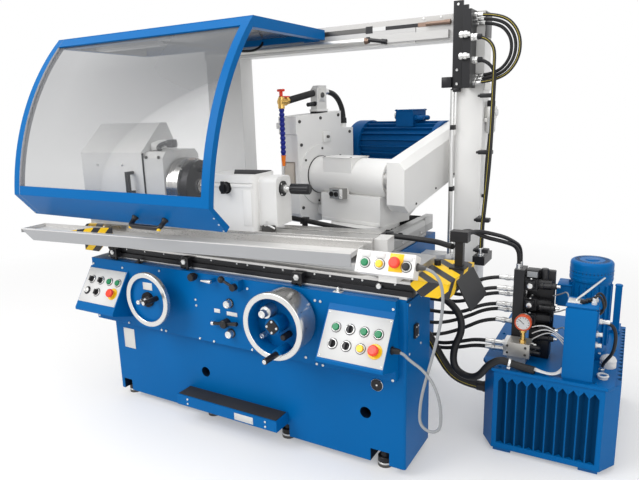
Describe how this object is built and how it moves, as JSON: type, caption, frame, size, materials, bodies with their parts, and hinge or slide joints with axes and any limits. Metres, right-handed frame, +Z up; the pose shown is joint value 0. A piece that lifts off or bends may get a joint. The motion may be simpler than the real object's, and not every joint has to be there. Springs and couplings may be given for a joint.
{
  "type": "cylindrical grinder",
  "caption": "Universal cylindrical grinder with sliding clear hood, swivel table, workhead, tailstock, swivel wheelhead, sloping control consoles and a separate hydraulic unit.",
  "frame": {"origin": "bottom centre of the machine's box on the floor", "axes": "+X to the operator's right along the table, +Y from the operator to the rear, +Z up"},
  "size_m": [2.6283, 1.4816, 1.85],
  "materials": {
    "blue_paint": "satin",
    "white_paint": "satin",
    "hazard_paint": "satin",
    "ground_steel": "ground",
    "dark_steel": "blackened",
    "black_plastic": "matte",
    "grey_plastic": "matte",
    "red_plastic": "gloss",
    "green_plastic": "gloss",
    "yellow_plastic": "gloss",
    "black_rubber": "matte",
    "abrasive": "rough",
    "clear_glazing": "clear"
  },
  "bodies": {
    "bed": {"bed": "blue_paint", "levelling_feet": "dark_steel", "foot_step": "blue_paint", "front_apron": "blue_paint", "wheel_bed": "blue_paint", "columns": "white_paint", "overhead_beam": "white_paint", "hydraulic_tank": "blue_paint", "tank_lid": "blue_paint", "pump_motor": "blue_paint", "valve_block": "dark_steel", "electrical_box": "blue_paint", "hydraulic_hoses": "black_rubber", "table_hoses": "black_rubber", "column_hoses": "black_rubber", "box_cable": "grey_plastic"},
    "table": {"lower_table": "white_paint", "dog_rail": "ground_steel", "way_guards": "hazard_paint", "button_box": "white_paint"},
    "swivel_table": {"upper_table": "ground_steel", "coolant_tray": "white_paint", "workhead": "white_paint", "workhead_cover": "white_paint"},
    "work_spindle": {"work_spindle": "ground_steel"},
    "tailstock": {"tailstock": "white_paint"},
    "tailstock_quill": {"tailstock_quill": "ground_steel"},
    "quill_knob": {"quill_knob": "dark_steel"},
    "tailstock_lever": {"tailstock_lever": "black_plastic"},
    "wheel_slide": {"wheel_slide": "white_paint"},
    "wheelhead": {"wheelhead_housing": "white_paint", "wheel_guard": "white_paint", "belt_guard": "white_paint", "wheel_motor": "blue_paint", "drive_belts": "black_rubber", "coolant_arm": "white_paint", "coolant_hose": "black_rubber"},
    "wheel": {"grinding_wheel": "abrasive", "wheel_spindle": "ground_steel"},
    "motor_pulley": {"motor_pulley": "ground_steel"},
    "coolant_valve": {"coolant_valve": "red_plastic"},
    "hood": {"hood_frame": "blue_paint", "hood_glazing": "clear_glazing"},
    "table_handwheel": {"table_handwheel": "ground_steel"},
    "table_grip": {"table_grip": "black_plastic"},
    "infeed_handwheel": {"infeed_handwheel": "ground_steel"},
    "infeed_grip": {"infeed_grip": "black_plastic"},
    "start_lever": {"start_lever": "black_plastic"},
    "reversing_lever": {"reversing_lever": "black_plastic"},
    "panel_green_button_1": {"panel_green_button_1": "green_plastic"},
    "panel_selector_1": {"panel_selector_1": "black_plastic"},
    "panel_green_button_2": {"panel_green_button_2": "green_plastic"},
    "panel_green_button_3": {"panel_green_button_3": "green_plastic"},
    "panel_selector_2": {"panel_selector_2": "black_plastic"},
    "panel_selector_3": {"panel_selector_3": "black_plastic"},
    "panel_yellow_button": {"panel_yellow_button": "yellow_plastic"},
    "panel_emergency_stop": {"panel_emergency_stop": "red_plastic"},
    "left_emergency_stop": {"left_emergency_stop": "red_plastic"},
    "speed_knob": {"speed_knob": "grey_plastic"},
    "box_emergency_stop": {"box_emergency_stop": "red_plastic"}
  },
  "joints": [
    {"name": "table_wheel_turn", "type": "hinge", "parent": "bed", "child": "table_handwheel", "pos_m": [-0.5672, -0.5503, 0.598], "axis": [0, 1, 0], "range_deg": [-3240, 4140]},
    {"name": "table_grip_turn", "type": "hinge", "parent": "table_handwheel", "child": "table_grip", "pos_m": [-0.5152, -0.6473, 0.61], "axis": [0, 1, 0], "continuous": true},
    {"name": "infeed_wheel_turn", "type": "hinge", "parent": "bed", "child": "infeed_handwheel", "pos_m": [0.1308, -0.5503, 0.599], "axis": [0, -1, 0], "range_deg": [-7200, 4320]},
    {"name": "infeed_grip_turn", "type": "hinge", "parent": "infeed_handwheel", "child": "infeed_grip", "pos_m": [0.1508, -0.7003, 0.495], "axis": [0, 1, 0], "continuous": true},
    {"name": "table_traverse", "type": "slide", "parent": "bed", "child": "table", "axis": [1, 0, 0], "range_m": [-0.18, 0.23], "deforming": ["box_cable", "table_hoses"]},
    {"name": "table_swivel", "type": "hinge", "parent": "table", "child": "swivel_table", "pos_m": [-0.1682, -0.3483, 0.838], "axis": [0, 0, 1], "range_deg": [-9, 0]},
    {"name": "work_spindle_turn", "type": "hinge", "parent": "swivel_table", "child": "work_spindle", "pos_m": [-0.48626, -0.38347, 1.085], "axis": [0.9939, 0.1099, 0], "continuous": true},
    {"name": "tailstock_slide", "type": "slide", "parent": "swivel_table", "child": "tailstock", "axis": [0.9939, 0.1099, 0], "range_m": [-0.008, 0.3]},
    {"name": "quill_knob_turn", "type": "hinge", "parent": "tailstock", "child": "quill_knob", "pos_m": [0.05047, -0.32412, 1.085], "axis": [0.9939, 0.1099, 0], "range_deg": [0, 2700]},
    {"name": "quill_slide", "type": "slide", "parent": "tailstock", "child": "tailstock_quill", "axis": [0.9939, 0.1099, 0], "range_m": [0, 0.03]},
    {"name": "tailstock_lever_turn", "type": "hinge", "parent": "tailstock", "child": "tailstock_lever", "pos_m": [-0.21695, -0.44424, 1.094], "axis": [-0.1099, 0.9939, 0], "range_deg": [-45, 45]},
    {"name": "wheel_feed", "type": "slide", "parent": "bed", "child": "wheel_slide", "axis": [0, 1, 0], "range_m": [-0.1, 0.06]},
    {"name": "wheelhead_swivel", "type": "hinge", "parent": "wheel_slide", "child": "wheelhead", "pos_m": [0.1558, 0.1337, 0.823], "axis": [0, 0, 1], "range_deg": [0, 26]},
    {"name": "wheel_spin", "type": "hinge", "parent": "wheelhead", "child": "wheel", "pos_m": [0.1558, 0.1337, 1.085], "axis": [0.9744, -0.2246, 0], "continuous": true},
    {"name": "motor_spin", "type": "hinge", "parent": "wheelhead", "child": "motor_pulley", "pos_m": [0.4439, 0.49317, 1.215], "axis": [0.9744, -0.2246, 0], "continuous": true},
    {"name": "coolant_valve_turn", "type": "hinge", "parent": "wheelhead", "child": "coolant_valve", "pos_m": [-0.21383, -0.00071, 1.446], "axis": [0, 0, 1], "range_deg": [0, 90]},
    {"name": "hood_slide", "type": "slide", "parent": "bed", "child": "hood", "axis": [1, 0, 0], "range_m": [-0.04, 0.55]},
    {"name": "start_lever_turn", "type": "hinge", "parent": "bed", "child": "start_lever", "pos_m": [-0.1962, -0.5303, 0.52], "axis": [0, 1, 0], "range_deg": [-25, 25]},
    {"name": "reversing_lever_turn", "type": "hinge", "parent": "bed", "child": "reversing_lever", "pos_m": [-0.1162, -0.5503, 0.7], "axis": [0, 1, 0], "range_deg": [-15, 15]},
    {"name": "panel_green_button_1_press", "type": "slide", "parent": "bed", "child": "panel_green_button_1", "axis": [0, 0.8377, -0.5461], "range_m": [0, 0.004], "stiffness_N_per_m": 600, "springref_m": -0.002},
    {"name": "panel_selector_1_turn", "type": "hinge", "parent": "bed", "child": "panel_selector_1", "pos_m": [0.4236, -0.56865, 0.60984], "axis": [0, -0.8377, 0.5461], "range_deg": [-45, 45]},
    {"name": "panel_green_button_2_press", "type": "slide", "parent": "bed", "child": "panel_green_button_2", "axis": [0, 0.8377, -0.5461], "range_m": [0, 0.004], "stiffness_N_per_m": 600, "springref_m": -0.002},
    {"name": "panel_green_button_3_press", "type": "slide", "parent": "bed", "child": "panel_green_button_3", "axis": [0, 0.8377, -0.5461], "range_m": [0, 0.004], "stiffness_N_per_m": 600, "springref_m": -0.002},
    {"name": "panel_selector_2_turn", "type": "hinge", "parent": "bed", "child": "panel_selector_2", "pos_m": [0.3664, -0.60295, 0.55723], "axis": [0, -0.8377, 0.5461], "range_deg": [-45, 45]},
    {"name": "panel_selector_3_turn", "type": "hinge", "parent": "bed", "child": "panel_selector_3", "pos_m": [0.4236, -0.60295, 0.55723], "axis": [0, -0.8377, 0.5461], "range_deg": [-45, 45]},
    {"name": "panel_yellow_button_press", "type": "slide", "parent": "bed", "child": "panel_yellow_button", "axis": [0, 0.8377, -0.5461], "range_m": [0, 0.004], "stiffness_N_per_m": 600, "springref_m": -0.002},
    {"name": "panel_emergency_stop_press", "type": "slide", "parent": "bed", "child": "panel_emergency_stop", "axis": [0, 0.8377, -0.5461], "range_m": [0, 0.005], "stiffness_N_per_m": 600, "springref_m": -0.002},
    {"name": "left_emergency_stop_press", "type": "slide", "parent": "bed", "child": "left_emergency_stop", "axis": [0, 0.8377, -0.5461], "range_m": [0, 0.005], "stiffness_N_per_m": 600, "springref_m": -0.002},
    {"name": "speed_knob_turn", "type": "hinge", "parent": "bed", "child": "speed_knob", "pos_m": [-0.9992, -0.58913, 0.57842], "axis": [0, -0.8377, 0.5461], "range_deg": [-135, 135]},
    {"name": "box_emergency_stop_press", "type": "slide", "parent": "table", "child": "box_emergency_stop", "axis": [0, 0.9179, -0.3969], "range_m": [0, 0.005], "stiffness_N_per_m": 600, "springref_m": -0.002}
  ],
  "couplings": [
    {"joint": "table_traverse", "follows": "table_wheel_turn", "m_per_rad": 0.0031831},
    {"joint": "quill_slide", "follows": "quill_knob_turn", "m_per_rad": 0.00063662},
    {"joint": "wheel_feed", "follows": "infeed_wheel_turn", "m_per_rad": 0.00079577},
    {"joint": "motor_spin", "follows": "wheel_spin", "ratio": 1}
  ]
}
